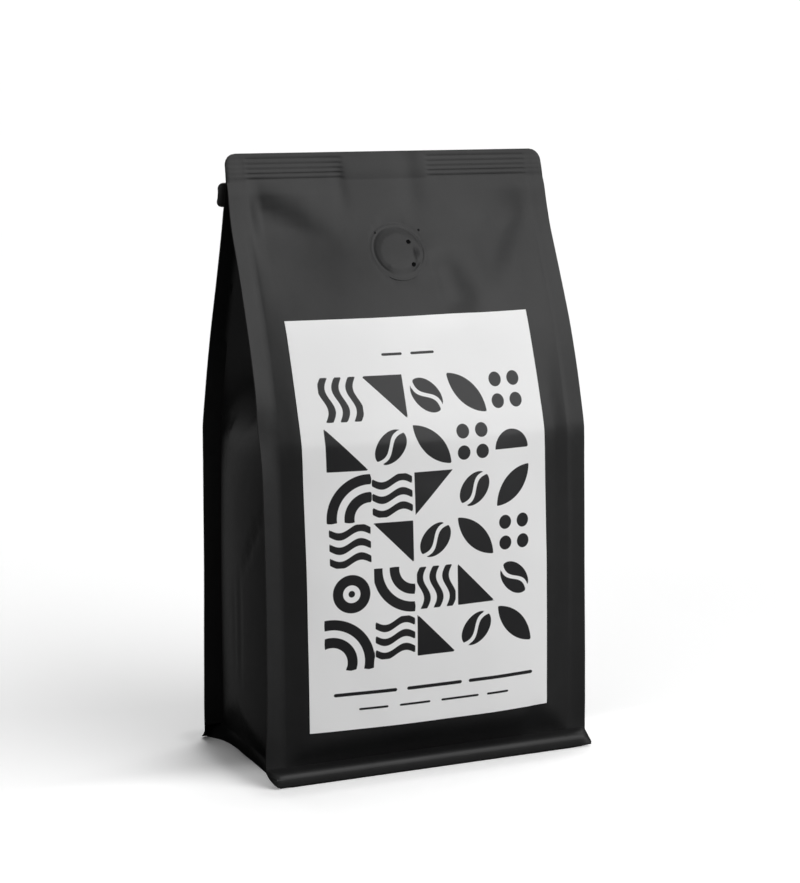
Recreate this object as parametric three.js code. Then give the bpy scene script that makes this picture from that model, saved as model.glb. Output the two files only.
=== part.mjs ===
// Coffee bag: a filled, shut flat-bottom pouch with side gussets, a pasted label,
// a one-way valve and a tin tie. Millimetres, +Z up, front panel towards -Y.
import * as THREE from 'three';
import { mergeVertices, toCreasedNormals } from 'three/addons/utils/BufferGeometryUtils.js';

// Sizes of the film bag
const HEIGHT = 214.2;            // foot to top edge
const FOOT_HALF_WIDTH = 62.5;    // half of the film width at the foot
const CREASE_HALF_WIDTH = 55.5;  // where the corner seals start
const FOOT_HALF_DEPTH = 35.4;    // front flange to middle, where it stands out most
const SEAM_HALF_DEPTH = 30.5;    // the same above the flange
const FIN_THICKNESS = 1.2;
const SEAL_HALF_THICKNESS = 0.8;
const SEAL_HEIGHT = 9.5;         // plain flat seal under the top edge
const TOP_CORNER_RADIUS = 4;
const FOOT_CORNER_RADIUS = 1.2;
const WORN_CORNER_RADIUS = 5;    // the front left foot corner is rounder

// Share of the foot flange's depth by height: an upright face, a round crest and a sloping ledge
const FLANGE_PROFILE = [
  [0, 0.92], [1.6, 0.99], [3.1, 1], [3.8, 0.94], [4.5, 0.78], [5.6, 0.2], [6.2, 0.06], [7.2, 0],
];
// At the front and at the back: how far the corner seals narrow towards the floor, how fast that
// fades along the gusset, and the heights between which the ends of the flange slope away
const FRONT_FOOT = { spread: 4, power: 1.3, slope: [1.6, 5.1] };
const BACK_FOOT = { spread: 5, power: 5, slope: [0, 2.6] };

// Half depth of the bag between its corner seals, by height
const HALF_DEPTH = [
  [7, SEAM_HALF_DEPTH], [14, SEAM_HALF_DEPTH], [32, 30.6], [56, 30.2], [80, 29.6], [104, 28.5], [116, 27.6],
  [128, 25.3], [140, 22.1], [152, 18.6], [164, 14.3], [176, 9.8], [188, 5.2], [196, 2.9],
  [202, 1.5], [HEIGHT - SEAL_HEIGHT, SEAL_HALF_THICKNESS], [HEIGHT, SEAL_HALF_THICKNESS],
];
// How far the big panels bulge in front of the corner seals, by height. Over the flange the bulge
// starts from nothing and is full at the belly's height, which drops towards the corner seals
const BELLY_FOOT = 5.8;
const BELLY_HEIGHT = 19;
const BELLY_CORNER_HEIGHT = 9.5;
const PANEL_BULGE = [
  [0, 4.2], [30, 4.9], [60, 6.0], [95, 6.4], [125, 5.8], [150, 5.0],
  [175, 3.6], [190, 1.9], [200, 0.6], [HEIGHT - SEAL_HEIGHT, 0], [HEIGHT, 0],
];
// How far the film's edges draw in, and how far the bag's middle plane leans back, by height
const EDGE_INSET = [
  [0, 0], [8, 0], [20, 0.35], [44, 0.65], [68, 0.8], [92, 0.7], [128, 0.5], [152, 0.6], [176, 0.9],
  [190, 0.95], [203, 1.2], [HEIGHT, 1.6],
];
const LEAN = [
  [0, 0], [14, 0.3], [60, 0.5], [92, 0.7], [128, 1.0], [152, 1.6], [164, 2.2], [176, 3.0],
  [188, 3.9], [196, 4.2], [203, 4.4], [HEIGHT, 7.0],
];
// Outward bulge of the side gussets and depth of their inward fold, by height
const GUSSET_BULGE = [
  [0, 5.0], [24, 5.3], [45, 5.7], [75, 6.0], [100, 5.6], [116, 3.6], [126, 0.8], [136, 0],
  [HEIGHT, 0],
];
const GUSSET_FOLD = [
  [0, 0], [112, 0], [120, 2.0], [128, 7.0], [138, 14.5], [150, 21], [165, 28], [180, 33],
  [192, 34.5], [198, 31], [202, 20], [204, 8], [HEIGHT - SEAL_HEIGHT, 0], [HEIGHT, 0],
];
// The gusset's foot is tucked in under a fold that drops from mid depth to the corner seals
const TUCK_DEPTH = 6.5;
const TUCK_HEIGHT = 22;
const TUCK_CORNER_HEIGHT = 6;
// Share of the tuck's depth from the floor (0) up to the fold (1), with a low ridge on the way
const TUCK_PROFILE = [[0, 0.62], [0.34, 0.5], [0.4, 0.54], [0.46, 0.72], [0.6, 0.74], [1, 0]];
const BASE_RECESS = 4.9;

// Shallow slanting dents at the upper corners: x, z from, x, z to, half width, depth
const DENTS = [
  [-54, 201, -24, 182, 4.2, 1.1],
  [53, 194, 35, 172, 4.2, 1.2],
];

// Label, valve and tie
const LABEL = { width: 92.4, height: 140.8, x: -1.7, z: 87.9, tilt: -0.010, thickness: 0.35 };
const VALVE = { radius: 10.4, domeRadius: 7.1, x: -2.1, z: 180, rim: 0.5, rise: 0.9 };
const TIE = { width: 124.6, height: 8.4, x: -1.3, z: 200.2, thickness: 1.1, radius: 1.6 };
const GAP = 0.4;                 // pieces laid on the film stand off by this

const clamp = (v, lo, hi) => Math.min(hi, Math.max(lo, v));
const smooth = (a, b, v) => { const t = clamp((v - a) / (b - a), 0, 1); return t * t * (3 - 2 * t); };

// Monotone curve through a table of [position, value] pairs
function curve(table) {
  const n = table.length;
  const slope = table.slice(1).map((p, i) => (p[1] - table[i][1]) / (p[0] - table[i][0]));
  const tangent = table.map((p, i) => {
    if (i === 0) return slope[0];
    if (i === n - 1) return slope[n - 2];
    return slope[i - 1] * slope[i] <= 0 ? 0 : 2 * slope[i - 1] * slope[i] / (slope[i - 1] + slope[i]);
  });
  return (v) => {
    const w = clamp(v, table[0][0], table[n - 1][0]);
    let i = 0;
    while (i < n - 2 && w > table[i + 1][0]) i++;
    const step = table[i + 1][0] - table[i][0];
    const t = (w - table[i][0]) / step;
    const a = table[i][1], b = table[i + 1][1], p = tangent[i] * step, q = tangent[i + 1] * step;
    return a + t * (p + t * (3 * (b - a) - 2 * p - q + t * (2 * (a - b) + p + q)));
  };
}
const seamHalfDepth = curve(HALF_DEPTH);
const panelBulge = curve(PANEL_BULGE);
const gussetBulge = curve(GUSSET_BULGE);
const gussetFold = curve(GUSSET_FOLD);
const tuckShare = curve(TUCK_PROFILE);
const edgeInset = curve(EDGE_INSET);
const lean = curve(LEAN);
const flangeShare = curve(FLANGE_PROFILE);

// Half depth with the foot flange, whose share of its depth changes near its ends
function halfDepth(z, x = 0, foot = FRONT_FOOT) {
  const [low, high] = foot.slope;
  const atEnd = smooth(CREASE_HALF_WIDTH + 3.5, CREASE_HALF_WIDTH + 6, Math.abs(x));
  const share = flangeShare(z) * (1 - atEnd) + clamp((high - z) / (high - low), 0, 1) * atEnd;
  return seamHalfDepth(z) + (FOOT_HALF_DEPTH - SEAM_HALF_DEPTH) * share;
}

function edgeX(z, footRadius) {
  const rounded = (over, r) => (over <= 0 ? 0 : r - Math.sqrt(Math.max(0, r * r - over * over)));
  return FOOT_HALF_WIDTH - edgeInset(z) - rounded(z - (HEIGHT - TOP_CORNER_RADIUS), TOP_CORNER_RADIUS)
    - rounded(footRadius - z, footRadius);
}

function dent(x, z) {
  let deep = 0;
  for (const [x0, z0, x1, z1, half, depth] of DENTS) {
    const t = clamp(((x - x0) * (x1 - x0) + (z - z0) * (z1 - z0)) / ((x1 - x0) ** 2 + (z1 - z0) ** 2), 0, 1);
    const d = Math.hypot(x - x0 - t * (x1 - x0), z - z0 - t * (z1 - z0));
    deep += depth * Math.sin(Math.PI * clamp(t * 0.9 + 0.05, 0, 1)) * Math.exp(-((d / half) ** 2));
  }
  return deep;
}

// Outward distance of the big panels from the bag's middle plane; they stand a step proud of
// the corner seals in the lower half
const SEAL_STEP = 0.9;
function panel(x, z, front) {
  const u = clamp(Math.abs(x) / CREASE_HALF_WIDTH, 0, 1);
  const full = BELLY_HEIGHT - (BELLY_HEIGHT - BELLY_CORNER_HEIGHT) * u ** 3;
  const belly = 1 - (1 - clamp((z - BELLY_FOOT) / (full - BELLY_FOOT), 0, 1)) ** 2;
  const step = SEAL_STEP * smooth(1.1, 0.96, Math.abs(x) / CREASE_HALF_WIDTH)
    * smooth(BELLY_FOOT, 14, z) * smooth(180, 140, z);
  return halfDepth(z, x, front ? FRONT_FOOT : BACK_FOOT) + panelBulge(z) * belly * (1 - u ** 2.2) + step
    - (front ? dent(x, z) : 0);
}
const frontY = (x, z) => lean(z) - panel(x, z, true);
const backY = (x, z) => lean(z) + panel(x, z, false);

// Stations across a panel: corner seals, then even steps between the creases
const PANEL_STEPS = 10;
function panelStations(z, leftRadius, rightRadius) {
  const xs = [];
  const fin = (w, radius) => CREASE_HALF_WIDTH + w * (edgeX(z, radius) - CREASE_HALF_WIDTH);
  for (const w of [1, 0.5]) xs.push(-fin(w, leftRadius));
  for (let i = 0; i <= PANEL_STEPS; i++) xs.push(CREASE_HALF_WIDTH * (-1 + 2 * i / PANEL_STEPS));
  for (const w of [0.5, 1]) xs.push(fin(w, rightRadius));
  return xs;
}

// Half of one side: from the middle fold (q = 0) out to the edge of a corner seal
const GUSSET_STEPS = 4;
function sideHalf(z, footRadius, foot) {
  const half = halfDepth(z);
  const thick = Math.min(FIN_THICKNESS, 0.45 * half);
  const shut = smooth(198, HEIGHT - SEAL_HEIGHT, z);   // corner seal and gusset grow together
  const edge = edgeX(z, footRadius);
  const spread = foot.spread * Math.max(0, 1 - z / TUCK_CORNER_HEIGHT);
  const crease = CREASE_HALF_WIDTH + shut * (edge - CREASE_HALF_WIDTH);
  const points = [];
  for (let i = 0; i <= GUSSET_STEPS; i++) {
    const q = i / GUSSET_STEPS;
    const foldHeight = TUCK_HEIGHT - (TUCK_HEIGHT - TUCK_CORNER_HEIGHT) * q ** 0.75;
    const tuck = TUCK_DEPTH * (1 - q ** 3) * tuckShare(z / foldHeight);
    const x = crease + gussetBulge(z) * (1 - q * q) - gussetFold(z) * (1 - q) - tuck
      + spread * q ** foot.power + 0.3 * shut * (1 - q * q);
    points.push([x, q * (half - thick), z]);
  }
  for (const x of [(crease + spread + edge) / 2 + 0.02, edge]) points.push([x, halfDepth(z, x, foot) - thick, z]);
  return points;
}

// Front or back half of a ring, from the left middle fold to the right one
function halfRing(z, surface, towards, leftRadius, foot) {
  const onSide = (sign) => ([x, y, h]) => new THREE.Vector3(sign * x, lean(h) + towards * y, h);
  return [
    ...sideHalf(z, leftRadius, foot).map(onSide(-1)),
    ...panelStations(z, leftRadius, FOOT_CORNER_RADIUS).map((x) => new THREE.Vector3(x, surface(x, z), z)),
    ...sideHalf(z, FOOT_CORNER_RADIUS, foot).reverse().map(onSide(1)),
  ];
}

// Full ring, counter-clockwise from above; both halves share the two middle folds
function ring(z) {
  const front = halfRing(z, frontY, -1, WORN_CORNER_RADIUS, FRONT_FOOT);
  const back = halfRing(z, backY, 1, FOOT_CORNER_RADIUS, BACK_FOOT);
  return front.concat(back.slice(1, -1).reverse());
}

// Rings under the foot: the inner edge of the flanges, then the recessed base
function baseRings(outer) {
  const count = outer.length;
  const insideX = CREASE_HALF_WIDTH - 1.2;
  const inner = outer.map((p) => {
    const ax = Math.abs(p.x), s = Math.sign(p.x) || 1;
    const onSide = Math.abs(p.y) < FOOT_HALF_DEPTH - 2;
    if (onSide) return new THREE.Vector3(s * (ax - 0.8), p.y * 0.985, p.z);
    const x = ax < insideX ? p.x : s * (insideX + 0.02 * (ax - insideX));
    const deep = ax < insideX ? FIN_THICKNESS : FIN_THICKNESS * 0.55;
    return new THREE.Vector3(x, Math.sign(p.y) * (Math.min(Math.abs(p.y), FOOT_HALF_DEPTH) - deep), 0);
  });
  const recess = inner.map((p, i) => {
    const across = p.x / insideX;
    const y = clamp(p.y, -28.5, 28.5) * (0.96 + 0.04 * Math.abs(i - count / 4) / count);
    return new THREE.Vector3(across * 48 + Math.sign(p.x) * 1.2 * (1 - (p.y / 35) ** 2), y, BASE_RECESS);
  });
  return [recess, inner];
}

// Closed body through rings of equal count; the end rings are zipped front to back
function loft(rings) {
  const n = rings[0].length;
  const position = rings.flat().flatMap((p) => [p.x, p.y, p.z]);
  const index = [];
  for (let r = 0; r + 1 < rings.length; r++) {
    for (let k = 0; k < n; k++) {
      const a = r * n + k, b = r * n + (k + 1) % n, c = a + n, d = b + n;
      if ((k + r) % 2) index.push(a, b, d, a, d, c);
      else index.push(a, b, c, b, d, c);
    }
  }
  const zip = (start, up) => {
    for (let k = 0; k < n / 2; k++) {
      const a = start + k, b = start + k + 1, c = start + (n - k - 1), d = start + (n - k) % n;
      const faces = k === 0 ? [[a, b, c]] : k === n / 2 - 1 ? [[a, b, d]] : [[a, b, c], [a, c, d]];
      for (const f of faces) index.push(...(up ? f : f.reverse()));
    }
  };
  zip(0, false);
  zip((rings.length - 1) * n, true);
  const g = new THREE.BufferGeometry();
  g.setAttribute('position', new THREE.Float32BufferAttribute(position, 3));
  g.setIndex(index);
  return g;
}

// Thin sheet laid on a panel: a subdivided box bent onto the surface
function laidSheet(width, height, steps, surface, thickness, radius) {
  const box = new THREE.BoxGeometry(width, height, 1, ...steps, 1);
  box.deleteAttribute('uv');
  box.deleteAttribute('normal');
  const g = mergeVertices(box, 1e-4);
  const p = g.getAttribute('position');
  for (let i = 0; i < p.count; i++) {
    const v = p.getY(i), over = Math.max(0, Math.abs(v) - (height / 2 - radius));
    const cut = radius ? radius - Math.sqrt(Math.max(0, radius * radius - over * over)) : 0;
    const u = p.getX(i) * (1 - 2 * cut / width);
    const layer = p.getZ(i) > 0 ? GAP + thickness : GAP;
    p.setXYZ(i, ...surface(u, v, layer));
  }
  return g;
}

function node(name, geometry, colour, roughness, metalness = 0) {
  const material = new THREE.MeshStandardMaterial({ color: colour, roughness, metalness });
  const mesh = new THREE.Mesh(toCreasedNormals(geometry, 0.6), material);
  mesh.name = name;
  return mesh;
}

// Heights of the rings, closer where the form turns
const ROWS = [
  0.6, 2, 3.4, 4.2, 5, 6, 7.8, 11, 14, 18, TUCK_HEIGHT, 31, 44, 60,
  80, 98, 110, 118, 125, 132, 139, 147, 156, 166, 176, 185, 192, 198, 202, HEIGHT - SEAL_HEIGHT,
  HEIGHT - TOP_CORNER_RADIUS, HEIGHT - 1.4, HEIGHT,
];

const foot = ring(0);
const pouch = loft([...baseRings(foot), foot, ...ROWS.map(ring)]);

const tiltedX = (u, z) => LABEL.x + u + LABEL.tilt * (z - LABEL.z);
const label = laidSheet(LABEL.width, LABEL.height, [12, 18], (u, v, layer) => {
  const z = LABEL.z + v, x = tiltedX(u, z);
  return [x, frontY(x, z) - layer, z];
}, LABEL.thickness, 0);

const tie = laidSheet(TIE.width, TIE.height, [22, 4], (u, v, layer) => {
  const z = TIE.z + v, x = TIE.x - u;
  return [x, Math.max(backY(x, z), backY(x, z + 1.5), backY(x, z - 1.5)) + layer, z];
}, TIE.thickness, TIE.radius);

// Valve: a round button with a low rim and a raised middle, square to the panel
const valveShape = [
  [0, GAP], [VALVE.radius - 0.5, GAP], [VALVE.radius, GAP + 0.25], [VALVE.radius - 0.35, GAP + VALVE.rim],
  [VALVE.domeRadius + 0.7, GAP + VALVE.rim], [VALVE.domeRadius - 0.5, GAP + VALVE.rise], [0, GAP + VALVE.rise],
].map(([x, y]) => new THREE.Vector2(x, y));
const valve = mergeVertices(new THREE.LatheGeometry(valveShape, 40).deleteAttribute('uv').deleteAttribute('normal'), 1e-4);
const slope = (frontY(VALVE.x, VALVE.z + 6) - frontY(VALVE.x, VALVE.z - 6)) / 12;
valve.rotateX(Math.PI - Math.atan(slope));
valve.translate(VALVE.x, frontY(VALVE.x, VALVE.z) - 0.25, VALVE.z);

const group = new THREE.Group();
group.name = 'coffee_bag';
group.add(
  node('pouch', pouch, 0x18181a, 0.6),
  node('label', label, 0xe4e5e8, 0.45),
  node('degassing_valve', valve, 0x1d1d20, 0.5),
  node('tin_tie', tie, 0x141416, 0.55),
);

export default group;
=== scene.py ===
from math import atan2, cos, exp, hypot, pi, radians, sin, sqrt

import bpy
from bpy.props import FloatProperty, FloatVectorProperty, PointerProperty
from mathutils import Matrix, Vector, noise


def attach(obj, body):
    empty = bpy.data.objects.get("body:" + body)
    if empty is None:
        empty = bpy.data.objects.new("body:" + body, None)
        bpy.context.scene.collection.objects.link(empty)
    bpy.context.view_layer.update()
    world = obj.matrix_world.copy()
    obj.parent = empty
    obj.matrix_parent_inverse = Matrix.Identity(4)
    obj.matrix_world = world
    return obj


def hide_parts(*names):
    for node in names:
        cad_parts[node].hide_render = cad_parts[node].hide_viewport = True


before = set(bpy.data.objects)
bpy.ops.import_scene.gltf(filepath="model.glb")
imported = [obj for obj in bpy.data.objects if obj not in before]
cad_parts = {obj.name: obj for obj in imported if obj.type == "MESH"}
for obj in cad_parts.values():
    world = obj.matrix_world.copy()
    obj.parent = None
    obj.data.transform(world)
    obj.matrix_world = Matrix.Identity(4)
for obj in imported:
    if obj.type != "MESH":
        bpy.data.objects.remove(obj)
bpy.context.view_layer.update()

bl_info = {
    "name": "Coffee Bag",
    "version": (1, 0, 0),
    "blender": (4, 5, 0),
    "location": "3D View > Sidebar > Coffee Bag",
    "description": "Flat-bottom coffee bag of matte film with a printed label, a valve and a closing strip",
    "category": "Object",
}

MM = 0.001
# Size of the picture in pixels, and width of the camera's sensor in millimetres
PICTURE_WIDTH, PICTURE_HEIGHT = 800, 883
SENSOR = 36.0

# The sizes from here to the label's rows are in millimetres; these profiles are (height, size) pairs
HALF_DEPTH = [
    (7, 30.5), (14, 30.5), (32, 30.6), (56, 30.2), (80, 29.6), (104, 28.7), (116, 28.25),
    (121, 27.2), (128, 25.3), (140, 22.1), (152, 18.6), (164, 14.3), (176, 9.8), (188, 5.2), (196, 2.9),
    (202, 1.5), (204.7, 0.5), (214.2, 0.4),
]
PANEL_BULGE = [
    (0, 4.2), (30, 4.9), (60, 6.0), (95, 6.4), (125, 5.8), (150, 5.0),
    (175, 3.6), (190, 1.9), (200, 0.6), (204.7, 0), (214.2, 0),
]
EDGE_INSET = [
    (0, 0), (8, 0), (20, 0.35), (44, 0.65), (68, 0.8), (92, 0.7), (128, 0.5), (152, 0.6), (176, 0.9),
    (190, 0.95), (203, 1.2), (214.2, 1.6),
]
LEAN = [
    (0, 0), (14, 0.3), (60, 0.5), (92, 0.7), (128, 1.0), (152, 1.6), (164, 2.2), (176, 3.0),
    (188, 3.9), (196, 4.2), (203, 4.4), (214.2, 7.0),
]
GUSSET_BULGE = [
    (0, 5.0), (24, 5.3), (45, 5.7), (75, 6.0), (100, 5.6), (116, 3.6), (126, 0.8), (136, 0), (214.2, 0),
]
GUSSET_FOLD = [
    (0, 0), (112, 0), (120, 2.0), (128, 7.0), (138, 14.5), (150, 21), (165, 28), (180, 33),
    (192, 34.5), (198, 31), (202, 20), (204, 8), (204.7, 0), (214.2, 0),
]
# Share of the gusset tuck's depth from the floor (0) up to its fold (1), with a nearly upright band
TUCK_PROFILE = [(0, 0.62), (0.25, 0.50), (0.36, 0.49), (0.42, 0.45), (1, 0)]
# Share of the foot flange's depth by height: an upright face, a round crest and a crisp valley
FLANGE_PROFILE = [
    (0, 0.99), (1.2, 1), (2.4, 1), (3.4, 0.98), (4.3, 0.91), (5.0, 0.76), (5.4, 0.5), (5.8, 0),
]
# Heights between which the ends of the flange slope away, at the front and at the back, and how far
# past the crease the slope begins and is whole
FRONT_END, BACK_END = (1.6, 5.1), (0, 2.6)
END_START, END_WHOLE = 4.8, 6.6

# Pressed lines of the top seal: how far under the edge, from where to where across, depth, half
# width, and the share of the depth that is left at the seal's ends
GROOVE_DROPS = (2.1, 3.9, 5.6, 7.2, 8.9)
GROOVE_ZONES = ((-54.0, -18.0), (15.0, 54.5))
GROOVE_DEPTH, GROOVE_HALF, GROOVE_FAINT = 0.22, 0.8, 0.25

# How far the corner seals turn outwards for each millimetre past the crease, the heights between
# which they do, and the front left one's turn back at the shoulder: height, half reach, strength
SEAL_BEND, SEAL_BEND_HEIGHTS = 0.09, (7, 20, 130, 160)
TURN_BACK_HEIGHT, TURN_BACK_REACH, TURN_BACK = 121, 9, 3.2
# Seam along the inner edge of the corner seals: depth, half width, heights
SEAM_DEPTH, SEAM_HALF, SEAM_HEIGHTS = 0.1, 0.7, (140, 170, 211, 214)
# Panels beside the corner seals: step at the seal's edge, rise next to it, heights of both
SEAL_STEP, SEAL_RISE, RISE_FULL, RISE_FADE, RISE_END = 0.15, 0.5, 14, 120, 148
# Crease at the front's lower right: where it starts and over how wide a stretch, how far under the
# belly's height, how steeply it falls, its least height over the belly's foot, and how crisp it is
FACET_START, FACET_STRETCH, FACET_DROP, FACET_SLOPE, FACET_LEAST, FACET_CRISP = 43, 9, 0.5, 1.07, 0.8, 0.7
# Unevenness of the filled film: reach across and up, place in the noise, depth; and its heights
RIPPLES, RIPPLE_HEIGHTS = ((26, 34, 1.7, 0.45), (9, 13, 5.1, 0.10)), (3, 22, 196, 214)
# Place in the noise of the back, which is uneven in its own way
BACK_NOISE = 300
# Height at which the gussets begin to close under the top seal, how strongly their layers draw back
# from the front and back film above the shoulder, and the heights over which that sets in
CLOSE_START, DRAW_BACK, DRAW_BACK_HEIGHTS = 199, 2.3, (150, 185)
# How far the rounded rim of the corner seals stands out
SEAL_RIM = 0.12

# Rows of the film's girth: heights near the floor, steps of ROW_STEP above them, and then SEAL_ROWS
# rows in the top seal
FOOT_ROWS = [0.3, 0.7, 1.2, 1.7, 2.2, 2.7] + [3.0 + 0.2 * k for k in range(18)]
FOOT_ROWS += [6.8, 7.3, 8.0, 8.8, 9.7]
ROW_STEP, SEAL_ROWS = 1.2, 54
# Base sheet inside the flange: half width, half depth, bulge of its sides, heights of its edge and
# middle over the floor, share of its size that the middle's outline has, and how far in from the
# crease the flange's inside lies
BASE_HALF_WIDTH, BASE_HALF_DEPTH, BASE_BULGE = 50, 29, 1.2
BASE_HEIGHTS, BASE_MIDDLE, FLANGE_INSIDE = {"recess_edge": 4.3, "recess": 4.9}, 0.97, 1.2

# Valve: place of its middle, height for its width, radius of the disc of film that it is drawn on,
# and how far the film lies back under it, from where to where inside the disc's rim
VALVE_PLACE, VALVE_SQUASH, VALVE_PATCH = (-2.1, 180.0), 0.9, 10.9
VALVE_BED, BED_START, BED_FULL = 0.9, 0.9, 2.3
# Its button: radius, how much that is drawn oval, rise and crown; the rise of the outer rim; depth,
# radius and half width of the trough between them; how deep the holes are
BUTTON_RADIUS, BUTTON_OVAL, BUTTON_RISE, BUTTON_CROWN = 8.6, 0.25, 0.42, 0.12
VALVE_RIM, TROUGH_DEPTH, TROUGH_RADIUS, TROUGH_HALF, HOLE_DEPTH = 0.10, 0.16, 9.2, 0.55, 0.35
# Notch and small rise on the button: across, up, half width, half height, rise
VALVE_SWELLS = ((6.9, -1.1, 1.3, 3.0, -0.40), (-4.2, -5.4, 1.1, 0.8, 0.10))
# Shade beside the notch: across, up, half width, half height, strength
VALVE_SHADE = (6.6, -0.7, 0.9, 2.4, 0.5)
# Holes of the valve from its middle, pressed in and made dull to paint the shade inside them: across, up,
# radius
VALVE_HOLES = ((4.5, 3.3, 0.75), (4.7, -5.2, 0.8), (-7.4, 7.0, 0.35))
# A pinhole in the film beside the valve, drawn only as a dull spot that paints the shade inside it: x, z,
# radius
PINHOLE = (7.6, 186.8, 0.5)
# Reflection of the film outside the holes
FILM_SHINE = 0.33

# Closing strip: place of its middle across and up, corner radius, thickness, gap to the film; the
# two wires in it: how far from its middle, half width, rise
TIE_ACROSS, TIE_UP, TIE_CORNER, TIE_THICKNESS, TIE_GAP = -1.3, 200.2, 1.6, 0.5, 0.15
WIRE_PLACES, WIRE_HALF, WIRE_RISE = (-2.3, 2.3), 0.75, 0.45

# Label: how far its face stands off the film, lean to the left for each millimetre up, place of the
# motifs on it, half width of the print's soft edge
LABEL_FACE, LABEL_LEAN, MOTIF_PLACE, PRINT_EDGE = 0.25, 0.010, (0.6, 2.6), 0.07
# Plain bars in the place of words, from the label's middle: x from, x to, height, half width
PRINT_BARS = (
    (-13.5, -6.7, 58.2, 0.45), (-2.6, 5.6, 58.2, 0.45),
    (-37, -15, -57.6, 0.62), (-10, 10, -57.6, 0.62), (14, 39, -57.6, 0.62),
    (-28, -18, -63.3, 0.40), (-13, -2, -63.3, 0.40), (3, 17, -63.3, 0.40), (21, 29, -63.3, 0.40),
)
# Rows of the label's grid up to each height, in millimetres from its middle: close at the small print
LABEL_COLUMNS = 180
LABEL_ROWS = [
    (0, -70.4), (5, -64.6), (25, -62.0), (30, -59.2), (52, -56.0), (58, -47.4), (238, 52.6),
    (243, 57.0), (260, 59.4), (270, 70.4),
]

# Floor round the bag, in metres: half sides of the rectangle from which distances count; then, each
# as from, to and how much, the glow that lifts the white away from it and in front, painted light,
# and the grey the bag mirrors, a darker copy of the floor that is dark near the bag, painted shade
FOOT_HALF_SIDES = (0.061, 0.036, 0)
WHITE_AWAY, WHITE_FRONT, SHADED_GREY_AWAY = (0.003, 0.012, 0.10), (0.006, -0.018, 0.20), (0.004, 0.032, 0.20)
# Strength of the white world as the camera sees it and as it lights the bag
WORLD_SEEN, WORLD_AROUND = 1.1, 0.03

# Soft lights: name, azimuth, elevation and spread in degrees, strength
LIGHTS = [
    ("front_light", 36, 28, 60, 2.2),
    ("high_light", 50, 72, 100, 0.9),
    ("left_light", -50, 24, 30, 0.35),
    ("back_left_light", -150, 12, 40, 0.15),
    ("rim_light", 150, 55, 50, 1.3),
]

# Dents and ridges of the front: x, z from, x, z to, half width, depth (ridges below zero) and how
# many times wider the dent is on the right of its run
FRONT_DENTS = [
    (-92, 217.4, -10, 170.7, 6.6, 2.1, 1.8),
    (53, 201, 26, 165, 4.6, 1.5, 1.8),
    (9.5, 183, 11, 157, 2.2, -0.3, 1),
    (12, 181, 20, 154, 7.5, 2.1, 1.6),
    (-47.5, 37.0, -52.5, 37.3, 0.8, -0.35, 1),
    (49.5, 203, 56.5, 202, 1.0, 0.35, 1),
    (54.2, 198, 54.6, 192, 0.8, -0.35, 1),
    (7, 222, 7.5, 188, 4.2, 0.6, 1),
    (-20, 213, -19.5, 193, 2.6, 0.4, 1),
]
# Creases of the left side: y, z from, y, z to, half width, depth inwards, how many times wider on the
# right
SIDE_CREASES = [
    (-28.0, 106, -3.0, 66, 1.2, 0.7, 1),
    (-4.0, 76, -2.5, 24, 1.6, 0.35, 1),
    (1.0, 70, 2.5, 26, 1.6, 0.2, 1),
    (27.0, 117, 12.0, 119, 1.6, 1.6, 1),
]


def clamp(value, low=0.0, high=1.0):
    return max(low, min(high, value))


def smooth(start, end, value):
    t = clamp((value - start) / (end - start))
    return t * t * (3 - 2 * t)


def window(low, low_full, high_full, high, value):
    """1 between the two inner limits, fading to 0 at the outer ones."""
    return smooth(low, low_full, value) * smooth(high, high_full, value)


def swell(dx, dz, place):
    """A soft mound: place gives its middle, half width, half height and rise."""
    x, z, half_width, half_height, rise = place
    return rise * exp(-((dx - x) / half_width) ** 2 - ((dz - z) / half_height) ** 2)


def curve(table):
    """A monotone curve through (position, value) pairs."""
    slopes = [(b[1] - a[1]) / (b[0] - a[0]) for a, b in zip(table, table[1:])]
    tangents = [slopes[0]]
    for before, after in zip(slopes, slopes[1:]):
        tangents.append(0 if before * after <= 0 else 2 * before * after / (before + after))
    tangents.append(slopes[-1])

    def value_at(position):
        w = clamp(position, table[0][0], table[-1][0])
        i = next((k for k in range(len(table) - 2) if w <= table[k + 1][0]), len(table) - 2)
        step = table[i + 1][0] - table[i][0]
        t = (w - table[i][0]) / step
        a, b = table[i][1], table[i + 1][1]
        p, q = tangents[i] * step, tangents[i + 1] * step
        return a + t * (p + t * (3 * (b - a) - 2 * p - q + t * (2 * (a - b) + p + q)))

    return value_at


def along(a, b, start, end):
    """Share of the way along a segment and the distance from it."""
    run, rise = end[0] - start[0], end[1] - start[1]
    t = clamp(((a - start[0]) * run + (b - start[1]) * rise) / (run * run + rise * rise))
    return t, hypot(a - start[0] - t * run, b - start[1] - t * rise)


def dents(table, a, b):
    """Depth of the dents at a place; each fades out towards its ends."""
    deep = 0.0
    for a0, b0, a1, b1, half, depth, wider in table:
        past_a = abs(a - (a0 + a1) / 2) - abs(a1 - a0) / 2
        past_b = abs(b - (b0 + b1) / 2) - abs(b1 - b0) / 2
        if max(past_a, past_b) > 3 * half * max(1, wider):
            continue
        t, distance = along(a, b, (a0, b0), (a1, b1))
        if (b - b0) * (a1 - a0) < (a - a0) * (b1 - b0):
            half *= wider
        deep += depth * window(0, 0.35, 0.65, 1, t) * exp(-(distance / half) ** 2)
    return deep


# Settings

def metres(name, description, default):
    return FloatProperty(name=name, description=description, default=default, unit="LENGTH")


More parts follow.
